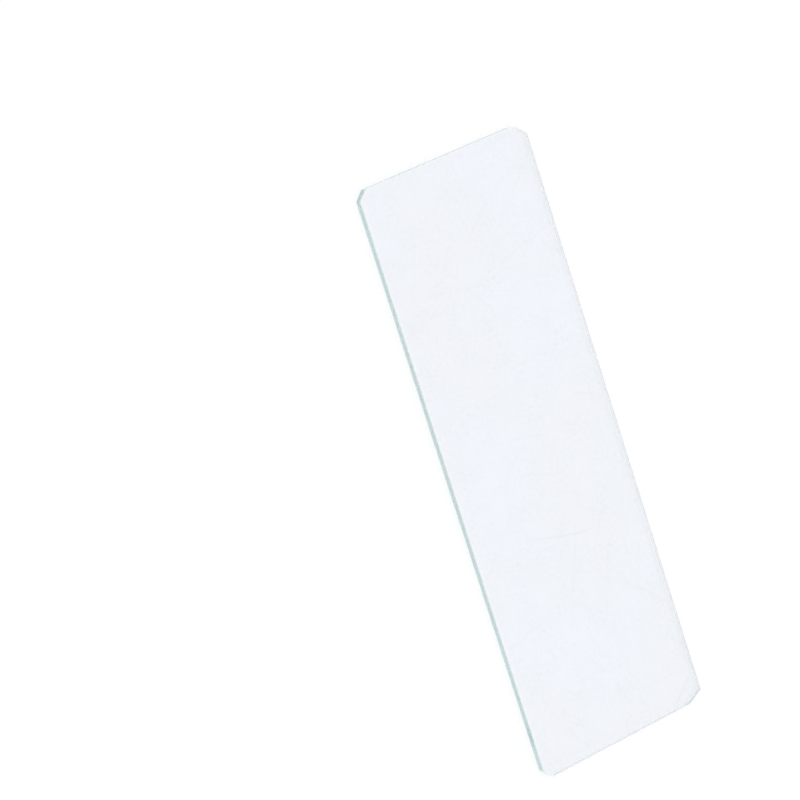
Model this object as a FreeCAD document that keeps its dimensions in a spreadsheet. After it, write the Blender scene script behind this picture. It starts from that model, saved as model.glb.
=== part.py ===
import FreeCAD, Part
import os
from collections import namedtuple

import Sketcher

# A plain glass slide for the microscope: one flat plate of clear glass, cut from sheet, with its
# four corners clipped and the edges of both faces ground to a small bevel.
#
# Frame: X runs along the plate, Y across it and Z up through its thickness. The origin is the
# middle of the face that the plate lies on. Front is the -Y side and left is the -X end.
#
# All sizes are in millimetres. A clip has two legs, both measured from the sharp corner that was
# cut away: "along" lies on the long edge and "across" on the short edge.
SIZES = [
    ("slide_length", 76.2, "overall, along X"),
    ("slide_width", 25.4, "overall, along Y"),
    ("slide_thickness", 1.1, "sheet thickness"),
    ("face_bevel", 0.1, "45 degree bevel ground round each face"),
    ("front_left_along", 1.15, "clip leg on the long edge"),
    ("front_left_across", 1.2, "clip leg on the short edge"),
    ("front_right_along", 1.2, "clip leg on the long edge"),
    ("front_right_across", 1.2, "clip leg on the short edge"),
    ("back_right_along", 1.15, "clip leg on the long edge"),
    ("back_right_across", 2.3, "clip leg on the short edge"),
    ("back_left_along", 1.4, "clip leg on the long edge"),
    ("back_left_across", 1.5, "clip leg on the short edge"),
    ("crisp_round", 0.15, "radius where a clip meets an edge cleanly"),
    ("back_right_round", 4.0, "radius where that clip was ground over into the short edge"),
    ("back_left_round", 2.0, "radius where that clip was ground over into the short edge"),
]

# The corners in order round the outline, anticlockwise seen from above: name, side in X, side in Y.
CORNERS = [
    ("front_left", -1, -1),
    ("front_right", 1, -1),
    ("back_right", 1, 1),
    ("back_left", -1, 1),
]

# The two ends of clips that were ground over, and the size that each one has. The rest are crisp.
GROUND_OVER = {
    "back_right_across": "back_right_round",
    "back_left_across": "back_left_round",
}

# One end of a clip: the leg that it ends, the side of the middle that it lies on in X and in Y,
# and expressions for how far from the middle it lies.
ClipEnd = namedtuple("ClipEnd", "leg side_x side_y reach_x reach_y")

# Coordinates closer than this, in millimetres, are the same place.
NEAR = 1e-5


def make_sheet(doc):
    """The spreadsheet that drives the model, one size to a row."""
    sheet = doc.addObject("Spreadsheet::Sheet", "Sizes")
    for row, (alias, value, note) in enumerate(SIZES, start=1):
        sheet.set(f"A{row}", alias)
        sheet.set(f"B{row}", str(value))
        sheet.setAlias(f"B{row}", alias)
        sheet.set(f"C{row}", note)
    doc.recompute()
    return sheet


def clip_ends():
    """The eight points of the outline, anticlockwise, starting on the left edge."""
    half_length = "Sizes.slide_length / 2"
    half_width = "Sizes.slide_width / 2"
    ends = []
    for corner, side_x, side_y in CORNERS:
        along, across = f"{corner}_along", f"{corner}_across"
        on_long_edge = ClipEnd(along, side_x, side_y, f"{half_length} - Sizes.{along}", half_width)
        on_short_edge = ClipEnd(across, side_x, side_y, half_length, f"{half_width} - Sizes.{across}")
        # The way round meets the short edge first at the front left and back right corners.
        short_edge_first = side_x == side_y
        ends += [on_short_edge, on_long_edge] if short_edge_first else [on_long_edge, on_short_edge]
    return ends


def place_of(sheet, end):
    """Where a clip ends on the outline."""
    x = float(sheet.evalExpression(end.reach_x))
    y = float(sheet.evalExpression(end.reach_y))
    return FreeCAD.Vector(end.side_x * x, end.side_y * y, 0)


def hold(sketch, kind, line, side, distance, expression):
    """Tie one coordinate of a line's start to the sheet, as its distance from the origin."""
    origin, start = (-1, 1), (line, 1)
    between = origin + start if side > 0 else start + origin
    index = sketch.addConstraint(Sketcher.Constraint(kind, *between, distance))
    sketch.setExpression(f"Constraints[{index}]", expression)


def draw_outline(body, sheet):
    """The rectangle with clipped corners, drawn on the body's own XY plane."""
    plane = next(o for o in body.Origin.OriginFeatures if o.Role == "XY_Plane")
    sketch = body.newObject("Sketcher::SketchObject", "outline")
    sketch.AttachmentSupport = [(plane, "")]
    sketch.MapMode = "FlatFace"
    ends = clip_ends()
    places = [place_of(sheet, end) for end in ends]
    for start, stop in zip(places, places[1:] + places[:1]):
        sketch.addGeometry(Part.LineSegment(start, stop), False)
    for line in range(len(ends)):
        following = (line + 1) % len(ends)
        sketch.addConstraint(Sketcher.Constraint("Coincident", line, 2, following, 1))
    for line, (end, place) in enumerate(zip(ends, places)):
        hold(sketch, "DistanceX", line, end.side_x, abs(place.x), end.reach_x)
        hold(sketch, "DistanceY", line, end.side_y, abs(place.y), end.reach_y)
    return sketch


def upright_edge_at(shape, place):
    """The name of the edge that stands over a place on the outline."""
    for number, edge in enumerate(shape.Edges, start=1):
        if all(abs(v.X - place.x) < NEAR and abs(v.Y - place.y) < NEAR for v in edge.Vertexes):
            return f"Edge{number}"
    raise ValueError(f"no upright edge at {place}")


def edges_at_height(shape, height):
    """The names of the edges that lie flat at one height."""
    return [
        f"Edge{number}"
        for number, edge in enumerate(shape.Edges, start=1)
        if all(abs(v.Z - height) < NEAR for v in edge.Vertexes)
    ]


def round_clip_ends(body, sheet, base, size):
    """A fillet on the upright edges whose radius is the given size."""
    places = [place_of(sheet, e) for e in clip_ends() if GROUND_OVER.get(e.leg, "crisp_round") == size]
    fillet = body.newObject("PartDesign::Fillet", f"{size}_fillet")
    fillet.Base = (base, [upright_edge_at(base.Shape, place) for place in places])
    fillet.setExpression("Radius", f"Sizes.{size}")
    return fillet


def bevel_faces(body, sheet, base):
    """The small bevel ground round the upper and the lower face."""
    bevel = body.newObject("PartDesign::Chamfer", "ground_bevel")
    lower = edges_at_height(base.Shape, 0.0)
    upper = edges_at_height(base.Shape, float(sheet.slide_thickness))
    bevel.Base = (base, lower + upper)
    bevel.setExpression("Size", "Sizes.face_bevel")
    return bevel


def make_slide(doc, sheet):
    """The slide: plate, rounded clip ends and ground bevels."""
    body = doc.addObject("PartDesign::Body", "slide_body")
    body.Label = "glass_slide"
    outline = draw_outline(body, sheet)
    doc.recompute()

    plate = body.newObject("PartDesign::Pad", "plate")
    plate.Profile = outline
    plate.setExpression("Length", "Sizes.slide_thickness")
    doc.recompute()

    last = plate
    for size in ("crisp_round", *GROUND_OVER.values()):
        last = round_clip_ends(body, sheet, last, size)
        doc.recompute()

    body.Tip = bevel_faces(body, sheet, last)
    body.Placement = FreeCAD.Placement()
    doc.recompute()
    return body


def check(doc, parts):
    """Stop if a feature failed to build, or a sub-part is not one sound solid."""
    for item in doc.Objects:
        if {"Invalid", "Error"} & set(item.State):
            raise RuntimeError(f"{item.Label} did not build: {item.State}")
    for part in parts:
        if part.Shape.isNull() or not part.Shape.isValid() or len(part.Shape.Solids) != 1:
            raise RuntimeError(f"{part.Label} is not one sound solid")


def main():
    doc = FreeCAD.newDocument("microscope_slide")
    sheet = make_sheet(doc)
    parts = [make_slide(doc, sheet)]
    check(doc, parts)
    os.makedirs("parts", exist_ok=True)
    for part in parts:
        part.Shape.exportStep(os.path.join("parts", f"{part.Label}.step"))
        box = part.Shape.BoundBox
        print(
            f"{part.Label}: {box.XLength:.3f} x {box.YLength:.3f} x {box.ZLength:.3f} mm,"
            f" {part.Shape.Volume:.2f} mm3, {len(part.Shape.Faces)} faces"
        )


main()
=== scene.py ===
from collections import namedtuple
from math import atan2, cos, pi, radians, sin, tan

import bpy
from mathutils import Matrix, Vector


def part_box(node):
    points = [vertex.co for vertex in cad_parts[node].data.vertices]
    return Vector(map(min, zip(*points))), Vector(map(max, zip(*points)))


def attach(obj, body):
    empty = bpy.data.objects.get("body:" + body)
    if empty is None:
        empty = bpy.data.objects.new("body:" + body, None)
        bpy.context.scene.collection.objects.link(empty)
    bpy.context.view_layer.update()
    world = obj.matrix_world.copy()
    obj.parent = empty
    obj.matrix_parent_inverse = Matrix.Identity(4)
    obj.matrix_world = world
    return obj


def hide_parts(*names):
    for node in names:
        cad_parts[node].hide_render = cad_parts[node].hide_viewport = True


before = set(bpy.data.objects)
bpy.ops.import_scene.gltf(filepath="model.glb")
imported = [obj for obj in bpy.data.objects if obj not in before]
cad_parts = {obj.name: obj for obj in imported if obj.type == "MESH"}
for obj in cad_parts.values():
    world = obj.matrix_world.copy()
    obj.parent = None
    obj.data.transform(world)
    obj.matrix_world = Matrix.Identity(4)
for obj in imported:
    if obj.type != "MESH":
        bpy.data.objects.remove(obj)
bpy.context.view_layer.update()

# A plain glass slide for the microscope, lying flat on a white table. It is one plate of clear glass,
# cut from sheet, with its four corners clipped and the rims of both faces ground to a small bevel.
# The faces are polished, and carry the hairline scratches, the smudges and the dust of use. The walls
# are ground, and show the green of the glass, with painted reflection: each wall is tinted with the
# teal that it shows of its surroundings. The bevels at the back carry painted shade, a dark line.
#
# X runs along the slide, Y across it and Z up. Front is the -Y side and left is the -X end.
# Sizes are in metres and angles in radians, unless a name says otherwise.
NODE = "glass_slide"
LOW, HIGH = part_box(NODE)
MIDDLE = (LOW + HIGH) / 2
SIZE = HIGH - LOW

# ---- Shape

# A corner clip: the sides of the middle that it lies on, its legs on the long and on the short edge,
# the radius that its end on the short edge is ground over to, and how green it is, from 0 to 1. The
# green is partly that of the glass and partly painted reflection, the teal that the clip shows of its
# surroundings. The greener a clip at the back, the darker its bevels are painted too, as painted shade.
# Crisp ends share one small radius.
Clip = namedtuple("Clip", "side_x side_y along across ground_over green")
CRISP_ROUND = 0.00015
CLIPS = [
    Clip(-1, -1, 0.00115, 0.0012, CRISP_ROUND, 0.35),
    Clip(1, -1, 0.0012, 0.0012, CRISP_ROUND, 0.17),
    Clip(1, 1, 0.00115, 0.0023, 0.004, 1.0),
    Clip(-1, 1, 0.0014, 0.0015, 0.002, 0.25),
]
ROUND_STEPS = 10

# The bevel of the rims, and the arrises on both sides of it, which are just broken.
RIM_BEVEL = 0.0001
ARRIS_BREAK = 0.000012
ARRIS_STEPS = 2
ARRIS_SHARPER_THAN = radians(30)

# The bevel is ground by hand. Its width wanders a little along the straight of each rim, and at the
# front of the upper face its inner line runs out of parallel. All of this stays off the corners.
RIM_STEP = 0.0012
WANDER = 0.00001
WANDER_LENGTH = 0.004
FRONT_SKEW = 0.0005
CORNER_KEPT = 0.003
CORNER_FADE = 0.003

# Faces that meet at less than this angle are shaded smooth, and points nearer than this are one place.
SMOOTH_UNDER = radians(40)
NEAR = 1e-6

# How faces are told apart by their normals. Z is large on a level face and small on an upright one.
# A wall or a bevel of a side or an end looks straight out, and one of a clip looks out aslant.
LEVEL_OVER = 0.99
UPRIGHT_UNDER = 0.1
STRAIGHT_WALL_UNDER = 0.2
STRAIGHT_BEVEL_UNDER = 0.1

# ---- Glass

IOR = 1.52

# What the body takes from light on its way through, per metre of red, green and blue. The density is
# what a black body would take.
ABSORBED_PER_METRE = (2.4, 1.5, 1.35)
BODY_DENSITY = 20.0

# A noise is stretched to a mask: multiplied by the gain, moved by the offset and cut off at 0 and 1.
Stretch = namedtuple("Stretch", "gain offset")

# The faces: two tints mix in soft clouds.
FACE_TINT = (0.898, 0.912, 0.945)
FACE_TINT_CLOUD = (0.904, 0.926, 0.967)
CLOUD_SCALE = 60
CLOUD_STRETCH = Stretch(3, -1)

# The walls: how green each is, from 0 to 1. The green is partly that of the glass and partly painted
# reflection, the teal that each wall shows of its surroundings. The greener a wall, the rougher it is
# too. The fine level streaks of the wheel run along all of them.
FRONT_GREEN = 0.38
BACK_GREEN = 0.35
END_GREEN = 0.05
CLEAR_TINT = (1.0, 1.0, 1.0)
GREEN_TINT = (0.02, 0.38, 0.41)
GREEN_ROUGHNESS = 0.4
STREAK_TINT = (0.30, 0.45, 0.45)
STREAK_SCALE = (300, 300, 9000)
STREAK_SHARE = 0.12

# The bevels: clear, but painted dark at the back, as painted shade: the dark line that the back rims
# show. The lower rim has a small share of that darkness.
LOWER_SHADE_SHARE = 0.12
PAINTED_SHADE_TINT = (0.12, 0.12, 0.12)
BEVEL_ROUGHNESS = 0.2

# The scratches that stand out on the upper face: start, end and bow to the left of the way, in mm.
Scratch = namedtuple("Scratch", "start end bow")
MM_PER_METRE = 1000
CHOSEN_SCRATCHES = [
    Scratch((34, 12), (37.5, 8), 0.3),
    Scratch((34.5, 11.5), (37, 8.5), 0.15),
    Scratch((28, 11), (30, 9.5), -0.25),
    Scratch((31, 1), (35, 2.5), 0.0),
    Scratch((26.5, -1.5), (29.5, 0), 0.0),
    Scratch((19.5, 6), (25, 12), 0.25),
    Scratch((15.5, 5.5), (20, 4), 0.05),
    Scratch((12.5, 1.5), (18.5, -1), 0.0),
    Scratch((9.5, -5.5), (12, 4), -0.1),
    Scratch((19, -8.5), (22, -5.5), -0.05),
    Scratch((33, -7.5), (35.5, -6.5), -0.15),
]
CHOSEN_DARKNESS = 0.3

# Every scratch is a dull hairline. Towards each end it tapers off over a share of its half length.
SCRATCH_HALF_WIDTH = 0.00004
SCRATCH_ROUGHNESS = 0.4
SCRATCH_TAPER = 0.25

# The fine scratches lie at random on both faces, in layers: the size of a cell of the layer, the share
# of cells that hold a scratch and the tightest that one bends, as the cell over the radius. The shifts
# keep the layers, and both faces, from repeating each other.
Layer = namedtuple("Layer", "cell share bow")
LAYERS = [
    Layer(0.018, 0.7, 0.4),
    Layer(0.014, 0.6, 0.1),
    Layer(0.010, 0.6, 0.5),
    Layer(0.007, 0.6, 0.3),
    Layer(0.0045, 0.5, 0.6),
    Layer(0.003, 0.5, 1.2),
]
LAYER_SHIFT = Vector((0.37, 0.23, 0))
UPPER_SHIFT = (1.7, 0.9, 0)

# Half the length of a fine scratch, in cells. The shortest are the faintest, at a share of the darkness.
SHORTEST = 0.15
LONGEST = 0.5
FAINTEST = 0.4
FINE_DARKNESS = 0.14
FINE_DEPTH = 0.000002

# Smudges of handling: a fine mottle, in patches.
SMUDGE_SCALE = 2400
SMUDGE_STRETCH = Stretch(4, -1.9)
SMUDGE_PATCH_SCALE = 220
SMUDGE_PATCH_STRETCH = Stretch(4, -1.4)
SMUDGE_DARKNESS = 0.05
SMUDGE_ROUGHNESS = 0.04

# Dust and small pits: one to a cell at most, and none larger than the radius.
SPECK_CELL = 0.0026
SPECK_RADIUS = 0.00007
SPECK_SHARE = 0.3
SPECK_DARKNESS = 0.3

# ---- Room and camera

# Light goes back and forth many times between the faces before it leaves at a clip. The bevels are very
# fine at this distance, and the wide filter keeps them even.
BOUNCES = 256
FILTER_WIDTH = 2.0

FLOOR_SIZE = 8
FLOOR_GAP = 0.00003
FLOOR_COLOUR = (0.9, 0.9, 0.9, 1)
FLOOR_GLOW = 1.1
FLOOR_GLOW_SHARE = 0.6
ROOM_WHITE = (1, 1, 1, 1)

# The camera looks at the target from its distance. The azimuth turns it about Z from the front, to the
# left when negative, and the elevation raises it. The roll stands the slide on its right end in view.
CAMERA_AZIMUTH = radians(-22.42)
CAMERA_ELEVATION = radians(57.61)
CAMERA_ROLL = radians(91.28)
CAMERA_TARGET = Vector((-0.012757, -0.015267, 0.0))
CAMERA_DISTANCE = 0.5021
CAMERA_LENS = 189.0
CAMERA_SENSOR = 36.0
CAMERA_SEES_FROM = 0.01
CAMERA_SEES_TO = 20.0


# ---------------------------------------------------------------- modelling helpers


def start_piece(name, location, size):
    """A block of the given size, alone in the selection."""
    bpy.ops.object.select_all(action="DESELECT")
    bpy.ops.mesh.primitive_cube_add(size=1, location=location)
    piece = bpy.context.object
    piece.name = name
    piece.data.name = name
    piece.scale = size
    bpy.ops.object.transform_apply(location=True, rotation=True, scale=True)
    return piece


def pick(piece, kind, wanted):
    """Select, in edit mode, the vertices, edges or faces that wanted() says yes to."""
    bpy.ops.object.mode_set(mode="EDIT")
    bpy.ops.mesh.select_mode(type=kind)
    bpy.ops.mesh.select_all(action="DESELECT")
    bpy.ops.object.mode_set(mode="OBJECT")
    mesh = piece.data
    items = {"VERT": mesh.vertices, "EDGE": mesh.edges, "FACE": mesh.polygons}[kind]
    for item in items:
        item.select = wanted(item)
    bpy.ops.object.mode_set(mode="EDIT")


def ends_of(piece, edge):
    """The two end points of an edge."""
    return [piece.data.vertices[index].co for index in edge.vertices]


def apply_modifier(piece, kind, **settings):
    """Add a modifier to the piece, set it and apply it."""
    modifier = piece.modifiers.new(kind.lower(), kind)
    for name, value in settings.items():
        setattr(modifier, name, value)
    bpy.ops.object.modifier_apply(modifier=modifier.name)


# ---------------------------------------------------------------- the plate


def clip_corners():
    """Cut the four corners off along their clips."""
    bpy.ops.object.mode_set(mode="EDIT")
    for clip in CLIPS:
        on_long_edge = Vector((clip.side_x * (SIZE.x / 2 - clip.along), clip.side_y * SIZE.y / 2, 0))
        outward = Vector((clip.side_x * clip.across, clip.side_y * clip.along, 0)).normalized()
        bpy.ops.mesh.select_all(action="SELECT")
        bpy.ops.mesh.bisect(
            plane_co=on_long_edge,
            plane_no=outward,
            use_fill=True,
            clear_outer=True,
            threshold=NEAR / 10,
        )
    bpy.ops.object.mode_set(mode="OBJECT")


def round_upright(piece, x, y, radius, turn):
    """Round one upright edge to a radius. turn is the angle that the outline turns through there."""

    def stands_there(edge):
        return all(abs(end.x - x) < NEAR and abs(end.y - y) < NEAR for end in ends_of(piece, edge))

    pick(piece, "EDGE", stands_there)
    bpy.ops.mesh.bevel(offset=radius * tan(turn / 2), segments=ROUND_STEPS, affect="EDGES")
    bpy.ops.object.mode_set(mode="OBJECT")


def round_clip_ends(piece):
    """Round both ends of every clip."""
    for clip in CLIPS:
        turn_at_long = atan2(clip.across, clip.along)
        turn_at_short = pi / 2 - turn_at_long
        long_x = clip.side_x * (SIZE.x / 2 - clip.along)
        long_y = clip.side_y * SIZE.y / 2
        short_x = clip.side_x * SIZE.x / 2
        short_y = clip.side_y * (SIZE.y / 2 - clip.across)
        round_upright(piece, long_x, long_y, CRISP_ROUND, turn_at_long)
        round_upright(piece, short_x, short_y, clip.ground_over, turn_at_short)


def is_level(face):
    """True on both faces of the slide."""
    return abs(face.normal.z) > LEVEL_OVER


def bevel_rims(piece):
    """Grind the rims of both faces to a bevel."""
    pick(piece, "FACE", is_level)
    bpy.ops.mesh.select_mode(type="EDGE")
    bpy.ops.mesh.region_to_loop()
    bpy.ops.mesh.bevel(offset=RIM_BEVEL, offset_type="OFFSET", segments=1, affect="EDGES")
    bpy.ops.object.mode_set(mode="OBJECT")


def break_arrises():
    """Break the sharp lines on both sides of every bevel."""
    bpy.ops.object.mode_set(mode="EDIT")
    bpy.ops.mesh.select_mode(type="EDGE")
    bpy.ops.mesh.select_all(action="DESELECT")
    bpy.ops.mesh.edges_select_sharp(sharpness=ARRIS_SHARPER_THAN)
    bpy.ops.mesh.bevel(offset=ARRIS_BREAK, offset_type="OFFSET", segments=ARRIS_STEPS, affect="EDGES")
    bpy.ops.object.mode_set(mode="OBJECT")


def divide_rims(piece):
    """Divide the straights along their length, so that their rims can wander."""
    for axis in (0, 1):

        def runs_along(edge):
            a, b = ends_of(piece, edge)
            return abs(a[axis] - b[axis]) > SIZE[axis] / 2

        pick(piece, "EDGE", runs_along)
        bpy.ops.mesh.subdivide(number_cuts=round(SIZE[axis] / RIM_STEP))
        bpy.ops.object.mode_set(mode="OBJECT")


def lies_inward(point):
    """True on the inner line of a bevel, which borders the face, and on its arris."""
    return SIZE.z / 2 - abs(point.z - MIDDLE.z) < RIM_BEVEL / 2


def skew_front_bevel(piece):
    """Turn the inner line of the upper front bevel a little, so that the bevel widens towards +X."""
    inner_y = LOW.y + RIM_BEVEL

    def on_inner_line(vertex):
        point = vertex.co
        on_straight = abs(point.x) < SIZE.x / 2 - CORNER_KEPT
        return on_straight and point.y < inner_y + RIM_BEVEL and point.z > MIDDLE.z and lies_inward(point)

    pick(piece, "VERT", on_inner_line)
    bpy.ops.transform.rotate(value=-FRONT_SKEW, orient_axis="Z", center_override=(0, inner_y, HIGH.z))
    bpy.ops.object.mode_set(mode="OBJECT")


def straight_share(point, axis):
    """1 on the straight of a rim that runs along the axis, falling to 0 before the corners."""
    left = SIZE[axis] / 2 - CORNER_KEPT - abs(point[axis])
    return min(max(left / CORNER_FADE, 0.0), 1.0)


def wander_rims(piece):
    """Let the width of the bevels wander. Each line moves within the face or the wall it borders."""
    noise = bpy.data.textures.new("rim_wander", "CLOUDS")
    noise.noise_scale = WANDER_LENGTH
    noise.noise_depth = 2
    for direction in "XYZ":
        piece.vertex_groups.new(name=direction)
    for vertex in piece.data.vertices:
        point = vertex.co
        on_end = abs(point.x) > SIZE.x / 2 - 2 * RIM_BEVEL
        on_side = abs(point.y) > SIZE.y / 2 - 2 * RIM_BEVEL
        if not on_end and not on_side:
            continue
        share = straight_share(point, 1) if on_end else straight_share(point, 0)
        direction = "Z"
        if lies_inward(point):
            direction = "X" if on_end else "Y"
        piece.vertex_groups[direction].add([vertex.index], share, "REPLACE")
    for direction in "XYZ":
        apply_modifier(
            piece,
            "DISPLACE",
            texture=noise,
            texture_coords="LOCAL",
            direction=direction,
            vertex_group=direction,
            strength=2 * WANDER,
            mid_level=0.5,
        )
    piece.vertex_groups.clear()


def shade(piece):
    """Smooth shading over the small rounds, which leaves the faces, walls and bevels flat."""
    bpy.ops.object.select_all(action="DESELECT")
    piece.select_set(True)
    bpy.context.view_layer.objects.active = piece
    bpy.ops.object.shade_smooth_by_angle(angle=SMOOTH_UNDER)
    apply_modifier(piece, "WEIGHTED_NORMAL", mode="FACE_AREA", weight=100, keep_sharp=True)


def is_wall(face):
    """True on the upright walls, those of the clips among them."""
    return abs(face.normal.z) < UPRIGHT_UNDER


def is_bevel(face):
    """True on what slopes: the bevels and the arrises."""
    return not is_wall(face) and not is_level(face)


def clip_at(place):
    """The clip of the corner that a place is nearest to."""
    return next(clip for clip in CLIPS if clip.side_x * place.x > 0 and clip.side_y * place.y > 0)


def green_and_reflection_of(face):
    """How green a wall looks, from 0 to 1: partly the green of the glass, partly painted reflection."""
    if not is_wall(face):
        return 0.0
    if abs(face.normal.y) < STRAIGHT_WALL_UNDER:
        return END_GREEN
    if abs(face.normal.x) < STRAIGHT_WALL_UNDER:
        return FRONT_GREEN if face.normal.y < 0 else BACK_GREEN
    return clip_at(face.center).green


def painted_shade_of(face):
    """How dark a bevel is painted, as painted shade, from 0 to 1. The upper rim at the back is darkest."""
    if not is_bevel(face) or face.normal.y < STRAIGHT_BEVEL_UNDER:
        return 0.0
    shade_share = 1.0 if face.normal.z > 0 else LOWER_SHADE_SHARE
    if abs(face.normal.x) < STRAIGHT_BEVEL_UNDER:
        return shade_share
    return shade_share * clip_at(face.center).green


def set_on_faces(piece, name, value_of):
    """Give the piece a value on each face, under a name that its material reads."""
    values = piece.data.attributes.new(name, "FLOAT", "FACE")
    for face in piece.data.polygons:
        values.data[face.index].value = value_of(face)


def model_slide():
    """The whole slide, as one closed plate."""
    piece = start_piece("slide_plate", MIDDLE, SIZE)
    clip_corners()
    round_clip_ends(piece)
    bevel_rims(piece)
    break_arrises()
    divide_rims(piece)
    skew_front_bevel(piece)
    wander_rims(piece)
    set_on_faces(piece, "wall", is_wall)
    set_on_faces(piece, "bevel", is_bevel)
    # The green is partly painted reflection, and the dark of the back bevels is painted shade.
    set_on_faces(piece, "green", green_and_reflection_of)
    set_on_faces(piece, "painted_shade", painted_shade_of)
    shade(piece)
    return piece


# ---------------------------------------------------------------- node helpers


class Tree:
    """Short ways to add nodes to a node tree. A value is a number, a tuple or another node's output."""

    def __init__(self, tree):
        self.tree = tree

    def set(self, socket, value):
        if isinstance(value, bpy.types.NodeSocket):
            self.tree.links.new(value, socket)
        else:
            socket.default_value = value

    def add(self, kind, inputs=(), **settings):
        node = self.tree.nodes.new(kind)
        for name, value in settings.items():
            setattr(node, name, value)
        for key, value in dict(inputs).items():
            self.set(node.inputs[key], value)
        return node

    def math(self, operation, *values, clamp=False):
        node = self.add("ShaderNodeMath", operation=operation, use_clamp=clamp)
        for socket, value in zip(node.inputs, values):
            self.set(socket, value)
        return node.outputs[0]

    def vector(self, operation, *values):
        node = self.add("ShaderNodeVectorMath", operation=operation)
        for socket, value in zip(node.inputs, values):
            self.set(socket, value)
        return node.outputs[0]

    def between(self, share, low, high):
        """A number between two plain numbers: low at a share of 0, and high at 1."""
        return self.math("MULTIPLY_ADD", share, high - low, low)

    def stretched(self, noise, stretch):
        """A noise, stretched to a mask."""
        return self.math("MULTIPLY_ADD", noise, stretch.gain, stretch.offset, clamp=True)

    def noise(self, vector, scale, detail):
        """Soft noise, from about 0 to 1."""
        inputs = {"Vector": vector, "Scale": scale, "Detail": detail}
        return self.add("ShaderNodeTexNoise", inputs).outputs["Fac"]

    def scaled(self, vector, scale):
        node = self.add("ShaderNodeVectorMath", {"Vector": vector, "Scale": scale}, operation="SCALE")
        return node.outputs[0]

    def split(self, vector):
        node = self.add("ShaderNodeSeparateXYZ", {"Vector": vector})
        return node.outputs["X"], node.outputs["Y"], node.outputs["Z"]

    def turned(self, vector, angle):
        """The vector, turned about Z by an angle."""
        inputs = {"Vector": vector, "Angle": angle}
        return self.add("ShaderNodeVectorRotate", inputs, rotation_type="Z_AXIS").outputs[0]

    def mix(self, share, a, b):
        """A colour between two: a at a share of 0, and b at 1."""
        node = self.add("ShaderNodeMix", {"Factor": share}, data_type="RGBA")
        colours = [socket for socket in node.inputs if socket.type == "RGBA"]
        for socket, value in zip(colours, (a, b)):
            self.set(socket, (*value, 1) if isinstance(value, tuple) else value)
        return next(socket for socket in node.outputs if socket.type == "RGBA")

    def blend(self, share, a, b):
        """A value between two: a at a share of 0, and b at 1."""
        node = self.add("ShaderNodeMix", {"Factor": share, "A": a, "B": b}, data_type="FLOAT")
        return node.outputs["Result"]

    def mask(self, name):
        """The value that the piece carries on its faces under a name."""
        return self.add("ShaderNodeAttribute", attribute_name=name).outputs["Fac"]

    def place(self, group, **inputs):
        """Place a node group. An input's name has its spaces written as underscores."""
        node = self.add("ShaderNodeGroup", node_tree=group)
        for name, value in inputs.items():
            self.set(node.inputs[name.replace("_", " ")], value)
        return node.outputs[0]

    def largest(self, masks):
        """The largest of several masks at each place."""
        total = masks[0]
        for mask in masks[1:]:
            total = self.math("MAXIMUM", total, mask)
        return total


def new_group(name, inputs, output):
    """An empty node group. inputs maps the name of each input to its kind, Float or Vector."""
    group = bpy.data.node_groups.new(name, "ShaderNodeTree")
    for label, kind in inputs.items():
        group.interface.new_socket(label, in_out="INPUT", socket_type="NodeSocket" + kind)
    group.interface.new_socket(output, in_out="OUTPUT", socket_type="NodeSocketFloat")
    tree = Tree(group)
    given = tree.add("NodeGroupInput").outputs
    result = tree.add("NodeGroupOutput").inputs[0]
    return group, tree, given, result


# ---------------------------------------------------------------- wear


def line_mask(tree, along, across, half_length, half_width):
    """1 in the middle of a scratch, fading to 0 at its sides and towards its ends."""
    side = tree.math("DIVIDE", tree.math("ABSOLUTE", across), half_width)
    end = tree.math("DIVIDE", tree.math("ABSOLUTE", along), half_length)
    from_side = tree.math("SUBTRACT", 1, side, clamp=True)
    from_end = tree.math("SUBTRACT", 1, end, clamp=True)
    taper = tree.math("MULTIPLY", from_end, 1 / SCRATCH_TAPER, clamp=True)
    return tree.math("MULTIPLY", from_side, taper)


def chosen_scratch_group():
    """One scratch at a chosen place: a flat arc about its middle, along its angle."""
    inputs = {
        "Vector": "Vector",
        "Middle": "Vector",
        "Angle": "Float",
        "Half Length": "Float",
        "Half Width": "Float",
        "Bow": "Float",
    }
    group, tree, given, result = new_group("chosen_scratch", inputs, "Mask")
    away = tree.vector("SUBTRACT", given["Vector"], given["Middle"])
    along, across, _ = tree.split(tree.turned(away, tree.math("MULTIPLY", given["Angle"], -1)))
    run = tree.math("DIVIDE", along, given["Half Length"])
    sag = tree.math("SUBTRACT", 1, tree.math("MULTIPLY", run, run))
    off_arc = tree.math("SUBTRACT", across, tree.math("MULTIPLY", sag, given["Bow"]))
    tree.set(result, line_mask(tree, along, off_arc, given["Half Length"], given["Half Width"]))
    return group


def nearest_cell(tree, given):
    """The random cell that a point lies in, as three values.

    They are the way from its middle, in cells, its random numbers, and 1 if it holds anything.
    """
    cells = tree.scaled(given["Vector"], tree.math("DIVIDE", 1, given["Cell"]))
    inputs = {"Vector": cells, "Scale": 1, "Randomness": 1}
    found = tree.add("ShaderNodeTexVoronoi", inputs, voronoi_dimensions="2D").outputs
    away = tree.vector("SUBTRACT", cells, found["Position"])
    chance = tree.add("ShaderNodeSeparateColor", {"Color": found["Color"]}).outputs
    inputs = {"Vector": found["Position"]}
    draw = tree.add("ShaderNodeTexWhiteNoise", inputs, noise_dimensions="2D").outputs["Value"]
    present = tree.math("LESS_THAN", draw, given["Share"])
    return away, chance, present


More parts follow.
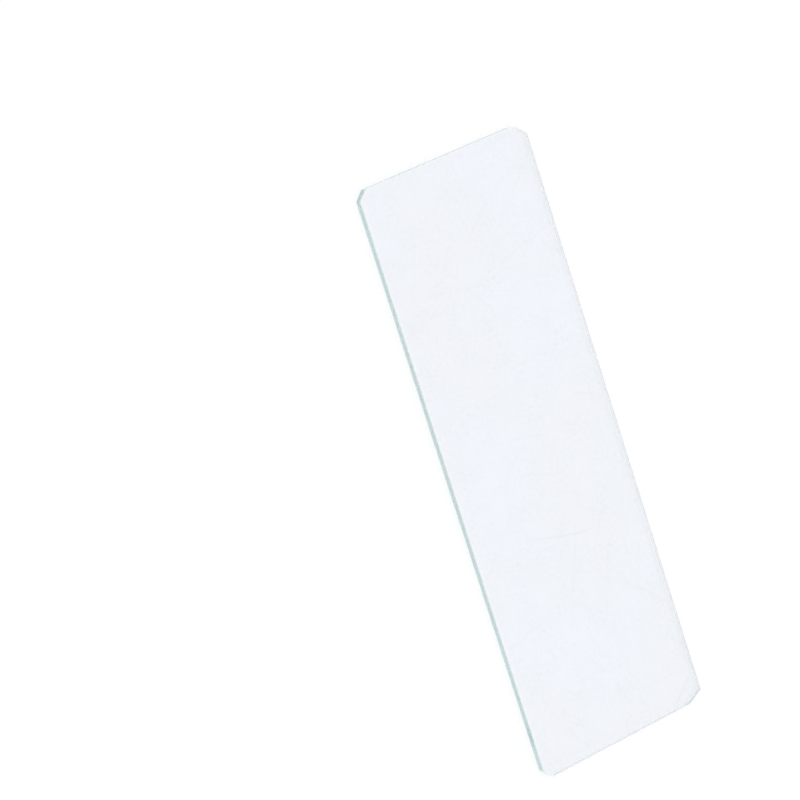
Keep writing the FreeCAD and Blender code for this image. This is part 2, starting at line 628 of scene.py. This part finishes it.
def random_scratches_group():
    """Scratches at random, one to a cell. Each has its own angle, length, bow and strength."""
    inputs = {"Vector": "Vector", "Cell": "Float", "Share": "Float", "Half Width": "Float", "Bow": "Float"}
    group, tree, given, result = new_group("random_scratches", inputs, "Mask")
    away, chance, present = nearest_cell(tree, given)
    along, across, _ = tree.split(tree.turned(away, tree.math("MULTIPLY", chance["Red"], 2 * pi)))
    lean = tree.math("MULTIPLY", tree.math("SUBTRACT", chance["Green"], 0.5), given["Bow"])
    sag = tree.math("MULTIPLY", tree.math("MULTIPLY", along, along), lean)
    off_arc = tree.math("MULTIPLY", tree.math("SUBTRACT", across, sag), given["Cell"])
    half_length = tree.between(chance["Blue"], SHORTEST, LONGEST)
    strength = tree.between(chance["Blue"], FAINTEST, 1.0)
    line = line_mask(tree, along, off_arc, half_length, given["Half Width"])
    tree.set(result, tree.math("MULTIPLY", tree.math("MULTIPLY", line, present), strength))
    return group


def specks_group():
    """Dust and small pits at random, as round dots that differ in size."""
    inputs = {"Vector": "Vector", "Cell": "Float", "Share": "Float", "Radius": "Float"}
    group, tree, given, result = new_group("specks", inputs, "Mask")
    away, chance, present = nearest_cell(tree, given)
    span = tree.add("ShaderNodeVectorMath", {0: away}, operation="LENGTH").outputs["Value"]
    radius = tree.math("MULTIPLY", given["Radius"], chance["Green"])
    reach = tree.math("DIVIDE", tree.math("MULTIPLY", span, given["Cell"]), radius)
    dot = tree.math("SUBTRACT", 1, reach, clamp=True)
    tree.set(result, tree.math("MULTIPLY", dot, present))
    return group


def smudges_group():
    """The mottle that fingers leave: fine noise, kept to patches of a coarser noise."""
    inputs = {"Vector": "Vector", "Scale": "Float", "Patch Scale": "Float"}
    group, tree, given, result = new_group("smudges", inputs, "Mask")
    mottle = tree.noise(given["Vector"], given["Scale"], detail=2)
    patch = tree.noise(given["Vector"], given["Patch Scale"], detail=1)
    spots = tree.stretched(mottle, SMUDGE_STRETCH)
    patches = tree.stretched(patch, SMUDGE_PATCH_STRETCH)
    tree.set(result, tree.math("MULTIPLY", spots, patches))
    return group


def chosen_scratches(tree, vector):
    """The scratches that stand out, as one mask."""
    group = chosen_scratch_group()
    masks = []
    for scratch in CHOSEN_SCRATCHES:
        start = Vector((*scratch.start, 0)) / MM_PER_METRE
        run = Vector((*scratch.end, 0)) / MM_PER_METRE - start
        masks.append(
            tree.place(
                group,
                Vector=vector,
                Middle=tuple(start + run / 2),
                Angle=atan2(run.y, run.x),
                Half_Length=run.length / 2,
                Half_Width=SCRATCH_HALF_WIDTH,
                Bow=scratch.bow / MM_PER_METRE,
            )
        )
    return tree.largest(masks)


def random_scratches(tree, vector):
    """All layers of the fine scratches, as one mask."""
    group = random_scratches_group()
    masks = []
    for number, layer in enumerate(LAYERS):
        shifted = tree.vector("ADD", vector, tuple(LAYER_SHIFT * (number + 1)))
        masks.append(
            tree.place(
                group,
                Vector=shifted,
                Cell=layer.cell,
                Share=layer.share,
                Half_Width=SCRATCH_HALF_WIDTH,
                Bow=layer.bow,
            )
        )
    return tree.largest(masks)


# The masks of the wear: scratches at chosen places, fine scratches at random, specks and smudges.
Wear = namedtuple("Wear", "chosen fine specks smudges")


def wear_of_faces(tree, flat, upper):
    """The chosen scratches lie on the upper face, and all other wear on both. upper is 1 or 0."""
    by_side = tree.vector("ADD", flat, tree.scaled(UPPER_SHIFT, upper))
    chosen = tree.math("MULTIPLY", chosen_scratches(tree, flat), upper)
    fine = random_scratches(tree, by_side)
    inputs = {"Vector": by_side, "Cell": SPECK_CELL, "Share": SPECK_SHARE, "Radius": SPECK_RADIUS}
    specks = tree.place(specks_group(), **inputs)
    inputs = {"Vector": by_side, "Scale": SMUDGE_SCALE, "Patch_Scale": SMUDGE_PATCH_SCALE}
    smudges = tree.place(smudges_group(), **inputs)
    return Wear(chosen, fine, specks, smudges)


# ---------------------------------------------------------------- the glass


def face_finish(tree, flat, wear):
    """The colour and the roughness of the polished faces: clouds of two tints, and the wear."""
    cloud = tree.stretched(tree.noise(flat, CLOUD_SCALE, detail=2), CLOUD_STRETCH)
    darkening = tree.largest(
        [
            tree.math("MULTIPLY", wear.chosen, CHOSEN_DARKNESS),
            tree.math("MULTIPLY", wear.fine, FINE_DARKNESS),
            tree.math("MULTIPLY", wear.specks, SPECK_DARKNESS),
            tree.math("MULTIPLY", wear.smudges, SMUDGE_DARKNESS),
        ]
    )
    colour = tree.mix(darkening, tree.mix(cloud, FACE_TINT, FACE_TINT_CLOUD), (0, 0, 0))
    scratched = tree.math("MAXIMUM", wear.chosen, wear.fine)
    roughness = tree.math(
        "MAXIMUM",
        tree.math("MULTIPLY", scratched, SCRATCH_ROUGHNESS),
        tree.math("MULTIPLY", wear.smudges, SMUDGE_ROUGHNESS),
    )
    return colour, roughness


def wall_finish(tree, point):
    """The colour and the roughness of the ground walls: green, partly painted reflection, and streaked."""
    # The green mask is partly painted reflection, the teal that each wall shows of its surroundings.
    green = tree.mask("green")
    streak = tree.noise(tree.vector("MULTIPLY", point, STREAK_SCALE), 1, detail=3)
    colour = tree.mix(green, CLEAR_TINT, GREEN_TINT)
    colour = tree.mix(tree.math("MULTIPLY", streak, STREAK_SHARE), colour, STREAK_TINT)
    return colour, tree.math("MULTIPLY", green, GREEN_ROUGHNESS)


def slide_glass():
    """Clear glass: polished and worn on the faces, ground on the walls, clips and bevels."""
    material = bpy.data.materials.new("clear_glass")
    material.use_nodes = True
    tree = Tree(material.node_tree)
    point = tree.add("ShaderNodeTexCoord").outputs["Object"]
    _, _, height = tree.split(point)
    upper = tree.math("GREATER_THAN", height, MIDDLE.z)
    flat = tree.vector("MULTIPLY", point, (1, 1, 0))
    wear = wear_of_faces(tree, flat, upper)

    face_colour, face_roughness = face_finish(tree, flat, wear)
    wall_colour, wall_roughness = wall_finish(tree, point)
    # Painted shade: the bevels at the back are darkened to the dark line that they show.
    bevel_colour = tree.mix(tree.mask("painted_shade"), CLEAR_TINT, PAINTED_SHADE_TINT)
    wall, bevel = tree.mask("wall"), tree.mask("bevel")
    colour = tree.mix(wall, tree.mix(bevel, face_colour, bevel_colour), wall_colour)
    roughness = tree.blend(wall, tree.blend(bevel, face_roughness, BEVEL_ROUGHNESS), wall_roughness)

    # Only the fine scratches are felt as dents.
    dent = tree.math("MULTIPLY", wear.fine, -1)
    bump = tree.add("ShaderNodeBump", {"Strength": 1.0, "Distance": FINE_DEPTH, "Height": dent})
    shader = material.node_tree.nodes["Principled BSDF"]
    tree.set(shader.inputs["Base Color"], colour)
    tree.set(shader.inputs["Roughness"], roughness)
    tree.set(shader.inputs["Normal"], bump.outputs["Normal"])
    shader.inputs["IOR"].default_value = IOR
    shader.inputs["Transmission Weight"].default_value = 1.0
    add_body(material)
    return material


def add_body(material):
    """The body of the glass takes a little of every colour, and most of the red."""
    tree = Tree(material.node_tree)
    left = tuple(1 - taken / BODY_DENSITY for taken in ABSORBED_PER_METRE)
    body = tree.add("ShaderNodeVolumeAbsorption", {"Color": (*left, 1), "Density": BODY_DENSITY})
    tree.set(material.node_tree.nodes["Material Output"].inputs["Volume"], body.outputs["Volume"])


# ---------------------------------------------------------------- room and camera


def floor_material():
    """Plain white. Seen directly, in glass or by reflection it also glows a little, so it reads white."""
    material = bpy.data.materials.new("floor_white")
    material.use_nodes = True
    material.node_tree.nodes.clear()
    tree = Tree(material.node_tree)
    ray = tree.add("ShaderNodeLightPath").outputs
    seen = tree.largest([ray["Is Camera Ray"], ray["Is Glossy Ray"], ray["Is Transmission Ray"]])
    paint = tree.add("ShaderNodeBsdfDiffuse", {"Color": FLOOR_COLOUR}).outputs[0]
    glow = tree.add("ShaderNodeEmission", {"Strength": FLOOR_GLOW}).outputs[0]
    share = tree.math("MULTIPLY", seen, FLOOR_GLOW_SHARE)
    both = tree.add("ShaderNodeMixShader", {0: share, 1: paint, 2: glow}).outputs[0]
    tree.add("ShaderNodeOutputMaterial", {"Surface": both})
    return material


def lay_floor():
    """The white table top, a hair below the slide."""
    bpy.ops.mesh.primitive_plane_add(size=FLOOR_SIZE, location=(0, 0, LOW.z - FLOOR_GAP))
    floor = bpy.context.object
    floor.name = "floor"
    floor.data.materials.append(floor_material())


def light_room():
    """Soft white light from all around."""
    world = bpy.data.worlds.new("studio")
    bpy.context.scene.world = world
    world.use_nodes = True
    world.node_tree.nodes["Background"].inputs["Color"].default_value = ROOM_WHITE


def set_camera():
    """The camera looks down on the slide from the front left."""
    azimuth, elevation = CAMERA_AZIMUTH, CAMERA_ELEVATION
    back = Vector((sin(azimuth) * cos(elevation), -cos(azimuth) * cos(elevation), sin(elevation)))
    right = Vector((cos(azimuth), sin(azimuth), 0))
    up = back.cross(right)
    data = bpy.data.cameras.new("camera")
    data.lens = CAMERA_LENS
    data.sensor_width = CAMERA_SENSOR
    data.clip_start = CAMERA_SEES_FROM
    data.clip_end = CAMERA_SEES_TO
    camera = bpy.data.objects.new("camera", data)
    bpy.context.scene.collection.objects.link(camera)
    place = Matrix.Translation(CAMERA_TARGET + back * CAMERA_DISTANCE)
    turn = Matrix((right, up, back)).transposed().to_4x4()
    camera.matrix_world = place @ turn @ Matrix.Rotation(CAMERA_ROLL, 4, "Z")
    bpy.context.scene.camera = camera


def set_up_scene():
    """Plain colours, reflections kept sharp, and enough bounces for glass this thin."""
    scene = bpy.context.scene
    scene.view_settings.view_transform = "Standard"
    scene.cycles.blur_glossy = 0.0
    scene.cycles.filter_width = FILTER_WIDTH
    scene.cycles.max_bounces = BOUNCES
    scene.cycles.glossy_bounces = BOUNCES
    scene.cycles.transmission_bounces = BOUNCES


set_up_scene()
slide = model_slide()
slide.data.materials.append(slide_glass())
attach(slide, "root")
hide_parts(NODE)
lay_floor()
light_room()
set_camera()
